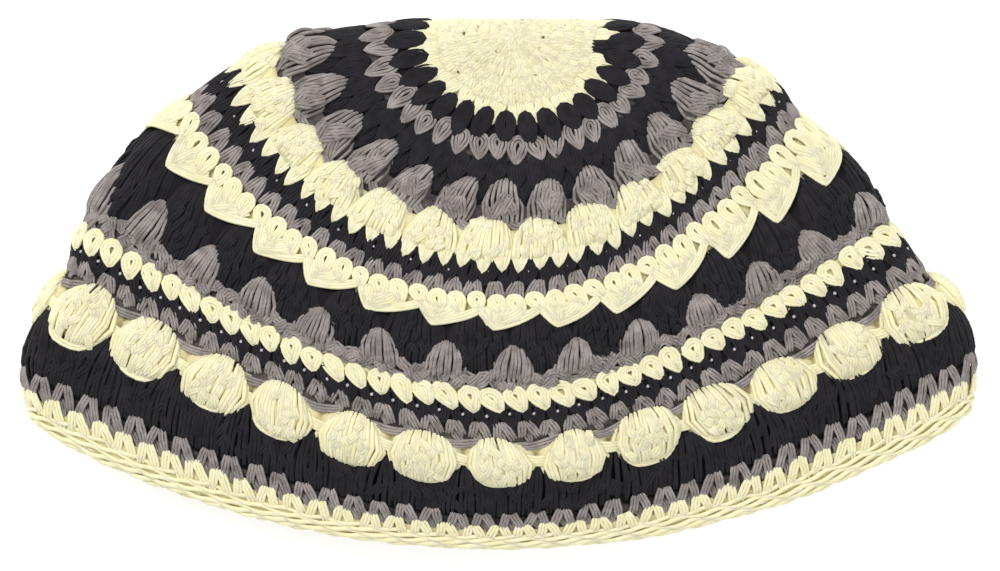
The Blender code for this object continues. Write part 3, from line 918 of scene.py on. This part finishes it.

# %% [markdown]
# ## Pinholes, legs and a waved edge
#
# Three narrow rounds follow. In the navy one a pale point of the table shows through some of
# the stitches: a pinhole is a very short strand in painted light, pale as the table, for the
# same reason as the holes in the crown. The grey one shows two spread legs to each stitch. The
# cream one ends in a waved edge: its stitches go in threes, spokes of yarn meet in a point
# below them, and three strands follow the wave's outline.

# %% Three narrow rounds: navy, grey and cream
NAVY_3 = (72, -0.1, 0.440, 0.482)
GREY_2 = (72, 0.4, 0.478, 0.511)
CREAM_1_STITCHES = 78
CREAM_1_PHASE = 0.55
WAVES = (26, 0.35)
# A pinhole's dot: a very short strand in painted light
PINHOLE = ((-0.03, 0.54, 0.20, 1.0), (0.00, 0.58, 0.25, 1.0), (0.03, 0.62, 0.20, 1.0))
finish_piece(
    "navy_round_3", "navy_band_3", "navy", wall("navy", "cream_shell", "navy_3"),
    [single_round(*NAVY_3, ROUND_TOP, **FULL_YARN, lean=0.04, seed=44)],
    # Pale strands of painted light in the pinholes of every other stitch
    [open_round(*NAVY_3, PINHOLE, strands=1, radius=0.00034, spacing=0.0, seed=44, points=3,
                every=range(0, 72, 2))],
    painted_pinhole_light,
)
finish_piece(
    "grey_round_2", "grey_band_2", "grey", wall("grey", "navy_3", "grey_2"),
    leg_round(*GREY_2, seed=45, radius=0.00039),
)
GARLAND = (
    (-0.44, -0.05, 0.5, 0.9), (-0.37, 0.46, 1.0, 1.0), (-0.29, 0.96, 1.2, 0.9),
    (-0.24, 1.02, 1.2, 0.8), (0.00, 0.80, 1.2, 1.0), (0.22, 0.56, 1.0, 1.0),
    (0.42, 0.28, 0.8, 1.0), (0.58, 0.02, 0.5, 0.9),
)
SPOKES = (-0.36, -0.16, 0.06, 0.28)
waved_edge = [
    single_round(CREAM_1_STITCHES, CREAM_1_PHASE, 0.510, 0.543, ACORN, radius=0.00055,
                 spacing=0.00080, lean=0.02, seed=46, lift=0.6, width=1.05,
                 every=[k for k in range(CREAM_1_STITCHES) if k % 3 != 2]),
    single_round(CREAM_1_STITCHES, CREAM_1_PHASE, 0.508, 0.533, ACORN, seed=49, lift=0.4,
                 every=range(2, CREAM_1_STITCHES, 3)),
    open_round(*WAVES, 0.533, 0.568, GARLAND, strands=3, radius=0.00052, spacing=0.00066,
               wobble=0.03, seed=47, points=15),
]
for number, side in enumerate(SPOKES):
    spoke = (
        (side, 0.10, 0.6, 0.9), (0.6 * side - 0.08, 0.52, 1.1, 1.0), (-0.22, 0.94, 1.2, 0.8),
    )
    waved_edge.append(open_round(*WAVES, 0.527, 0.566, spoke, strands=4, radius=0.00054,
                                 spacing=0.00078, wobble=0.04, seed=48 + number, points=5))
finish_piece("cream_round_1", "cream_band_1", "cream",
             wall("cream", "grey_2", "cream_1", lips=(0.0, -0.006)), waved_edge)

# %% [markdown]
# ## Navy shells and grey fans
#
# The navy shells are wider and flatter than the cream ones. Grey fans rise between them: many
# strands spread from a narrow top, over a shorter fan. Below them an uneven row of grey loops
# runs round the cap, under short wraps.

# %% Navy shells
NAVY_SHELL_POSTS = (26, -0.15, 0.545, 0.660)
NAVY_SHELL_WRAPS = (26, -0.15, 0.541, 0.660)
finish_piece(
    "navy_shell_round", "navy_shells", "navy",
    wall("navy", "cream_1", "navy_shell", lips=(0.004, 0.016),
         swell=(26, -0.15, 0.0015, 0.60, 0.07), faces=312),
    [
        dome(*NAVY_SHELL_POSTS, posts=7, widths=(0.36, 0.50, 0.50), radius=0.00054,
             sags=(0.22, 0.0), rise=1.5, base=-0.4, wobble=0.02, seed=51, gather=1.0),
        wraps(*NAVY_SHELL_WRAPS, each=12, half_width=0.48, radius=0.00047, spacing=0.00080,
              rise=1.6, base=0.0, seed=52, lows=(0.36, 0.9), reach=0.10, slant=0.12),
    ],
)

# %% Grey fans
FANS = (26, 0.35, 0.603, 0.672)
LOW_FANS = (26, 0.35, 0.628, 0.676)
FAN_LOOPS = (78, 0.05, 0.658, 0.690)
FAN_WRAPS = (26, 0.35, 0.654, 0.700)
LOOP = (
    (-0.52, 0.62, -0.3, 1.0), (-0.30, 0.18, 0.2, 1.0), (0.05, 0.10, 0.3, 1.0),
    (0.38, 0.34, 0.3, 1.0), (0.56, 0.74, 0.0, 1.0), (0.28, 0.98, -0.4, 1.0),
    (-0.20, 0.94, -0.4, 1.0),
)
finish_piece(
    "grey_fan_round", "grey_fans", "grey", wall("grey", "navy_shell", "grey_fan"),
    [
        dome(*FANS, posts=4, widths=(0.15, 0.31, 0.32), radius=0.00048, sags=(0.24, 0.08),
             rise=2.1, base=0.3, seed=53, gather=1.1),
        dome(*LOW_FANS, posts=3, widths=(0.16, 0.29, 0.34), radius=0.00046, sags=(0.30, 0.08),
             rise=1.2, base=0.2, seed=56, points=7, gather=1.1),
        single_round(*FAN_LOOPS, LOOP, radius=0.00044, spacing=0.00084, wobble=0.14, lean=0.0,
                     seed=54, points=11),
        wraps(*FAN_WRAPS, each=9, half_width=0.50, radius=0.00044, spacing=0.00082, rise=0.0,
              base=0.55, seed=57, lows=(0.0, 0.66), reach=0.16, slant=0.12, strands=3,
              spread=1.0, points=5),
    ],
)

# %% [markdown]
# ## Three more narrow rounds
#
# Cream, navy and grey again. Every navy stitch has its pinhole here, with a dot of painted
# light in it. The grey round also has floats, long strands that run loose between the bobbles
# of the next round.

# %% Three narrow rounds: cream, navy and grey
CREAM_2 = (78, 0.15, 0.692, 0.726)
NAVY_4 = (78, 0.78, 0.716, 0.757)
GREY_3 = (78, 0.28, 0.753, 0.785)
FLOATS = (26, 0.5, 0.772, 0.806)
FLOAT = (
    (-0.36, 0.80, -0.6, 0.7), (-0.16, 0.90, 0.0, 1.0), (0.04, 0.84, 0.1, 1.0),
    (0.22, 0.70, 0.0, 1.0), (0.36, 0.50, -0.6, 0.7),
)
finish_piece(
    "cream_round_2", "cream_band_2", "cream", wall("cream", "grey_fan", "cream_2"),
    [single_round(*CREAM_2, ACORN, radius=0.00057, spacing=0.00084, wobble=0.07, lean=0.06,
                  seed=61, lift=0.3, width=1.08)],
)
finish_piece(
    "navy_round_4", "navy_band_4", "navy", wall("navy", "cream_2", "navy_4"),
    [single_round(*NAVY_4, ROUND_TOP, **FULL_YARN, lean=0.04, seed=62)],
    # A pale strand of painted light in the pinhole of every navy stitch
    [open_round(*NAVY_4, PINHOLE, strands=1, radius=0.00052, spacing=0.0, wobble=0.06, seed=62,
                points=3)],
    painted_pinhole_light,
)
finish_piece(
    "grey_round_3", "grey_band_3", "grey", wall("grey", "navy_4", "grey_3", lips=(0.0, 0.012)),
    leg_round(*GREY_3, seed=63, radius=0.00039)
    + [open_round(*FLOATS, FLOAT, strands=3, radius=0.00038, spacing=0.00072, seed=64,
                  points=9)],
)

# %% [markdown]
# ## Cream bobbles and the tall navy round
#
# The largest bobbles sit near the rim, joined by short links. Posts of yarn run down each
# one under many slanting wraps, and two strands wrap its foot. The tall navy round rises
# between them: a dome of strands between two bobbles and a lower one under each, with wraps
# over both.

# %% Cream bobbles
BOBBLES = (26, 0.0, 0.784, 0.880)
BOBBLE_WRAPS = (26, 0.0, 0.785, 0.879)
BOBBLE_FEET = (26, 0.0, 0.788, 0.881)
BOBBLE_LINKS = (26, 0.0, 0.788, 0.879)
WRAP = (
    (-0.36, 0.62, 0.2, 0.6), (-0.28, 0.80, 0.8, 1.0), (-0.15, 0.92, 0.9, 1.0),
    (0.11, 0.93, 0.9, 1.0), (0.26, 0.80, 0.8, 1.0), (0.38, 0.60, 0.2, 0.6),
)
BOBBLE_LINK = (
    (0.20, 0.34, 0.6, 1.2), (0.38, 0.46, 0.4, 1.0), (0.56, 0.50, 0.4, 0.9), (0.74, 0.52, 0.8, 1.4),
)
finish_piece(
    "cream_bobble_round", "cream_bobbles", "cream",
    wall("cream", "grey_3", "cream_bobble", swell=(26, 0.0, 0.0055, 0.832, 0.046), faces=312,
         deeper=0.0015),
    [
        dome(*BOBBLES, posts=6, widths=(0.31, 0.46, 0.32), radius=0.00064, sags=(0.30, 0.16),
             rise=3.3, base=-0.1, seed=71, gather=1.0),
        wraps(*BOBBLE_WRAPS, each=12, half_width=0.42, **CLOSE_YARN, rise=3.3, base=0.1, seed=72,
              lows=(0.18, 0.84), reach=0.12, slant=0.16, strands=3, spread=0.6, points=5),
        open_round(*BOBBLE_FEET, WRAP, radius=0.00052, spacing=0.00074, wobble=0.02, seed=73,
                   points=12),
        open_round(*BOBBLE_LINKS, BOBBLE_LINK, strands=4, radius=0.00050, spacing=0.00072,
                   wobble=0.03, seed=74),
    ],
)

# %% Tall navy round
BETWEEN_BOBBLES = (26, 0.5, 0.844, 0.937)
UNDER_BOBBLES = (26, 0.0, 0.866, 0.937)
TALL_WRAPS = (26, 0.25, 0.850, 0.946)
finish_piece(
    "navy_round_5", "navy_band_5", "navy",
    wall("navy", "cream_bobble", "navy_5", lips=(0.036, 0.0), faces=312),
    [
        dome(*BETWEEN_BOBBLES, posts=6, widths=(0.24, 0.50, 0.50), radius=0.00056,
             sags=(0.30, 0.0), rise=1.0, base=-0.1, wobble=0.02, seed=81, points=8, gather=1.0),
        dome(*UNDER_BOBBLES, posts=4, widths=(0.26, 0.27, 0.28), radius=0.00052,
             sags=(0.0, 0.0), rise=0.4, base=-0.1, wobble=0.02, seed=82, points=7, gather=1.0),
        wraps(*TALL_WRAPS, each=12, half_width=0.50, radius=0.00048, spacing=0.00086, rise=0.9,
              base=0.0, seed=83, lows=(0.3, 0.78), reach=0.12, slant=0.14, spread=1.0),
    ],
)

# %% [markdown]
# ## The edge
#
# One grey and one cream round show the legs of their stitches, and then the rim rolls under.
# Eight long strands lie along it. Each sways across and in and out, a little later than the
# one beside it, so the eight look twisted together and still follow the cap.

# %% Grey round and cream edging
GREY_4 = (78, 0.3, 0.931, 0.960)
EDGE_STITCHES = (78, 0.8, 0.955, 0.980)
TWISTS = 52
TWIST_STEP = 2.1
CORD_POINTS = 312
RIM_STRANDS = (
    (0.9790, 0.0000, 0.00056), (0.9850, 0.0000, 0.00062), (0.9910, -0.0001, 0.00062),
    (0.9965, -0.0004, 0.00064), (0.9995, -0.0011, 0.00066), (1.0005, -0.0020, 0.00066),
    (0.9985, -0.0029, 0.00066), (0.9930, -0.0038, 0.00066),
)
finish_piece(
    "grey_round_4", "grey_band_4", "grey", wall("grey", "navy_5", "grey_4"),
    leg_round(*GREY_4, seed=84, radius=0.00039, lift=0.5),
)
turn_line = np.linspace(0.0, 2 * math.pi, CORD_POINTS, endpoint=False)[None, :]


def rim_strand(share, lift, radius, seed, sway=0.00026):
    """A strand that runs along the rim and winds in and out from stitch to stitch."""
    rng = np.random.default_rng(seed)
    wave = np.sin(turn_line * TWISTS + TWIST_STEP * seed) * sway
    slow = np.sin(turn_line * rng.integers(9, 17) + rng.uniform(0, 6)) * sway * 0.5
    swell = np.cos(turn_line * TWISTS + TWIST_STEP * seed) * sway
    places = on_cap(turn_line, share + (wave + slow) / FRONT_REACH, lift + swell)[0]
    return places, radius, True


edging = [
    open_round(*EDGE_STITCHES, placed(leg, lift=0.25, height=1.05), strands=3, radius=0.00045,
               spacing=0.00078, wobble=0.06, seed=86)
    for leg in (LEFT_LEG, RIGHT_LEG)
] + [
    rim_strand(share, lift, radius, seed)
    for seed, (share, lift, radius) in enumerate(RIM_STRANDS, start=87)
]
finish_piece("cream_edge", "cream_edging", "cream",
             wall("cream", "grey_4", "rim", lips=(0.0, -0.006)), edging)
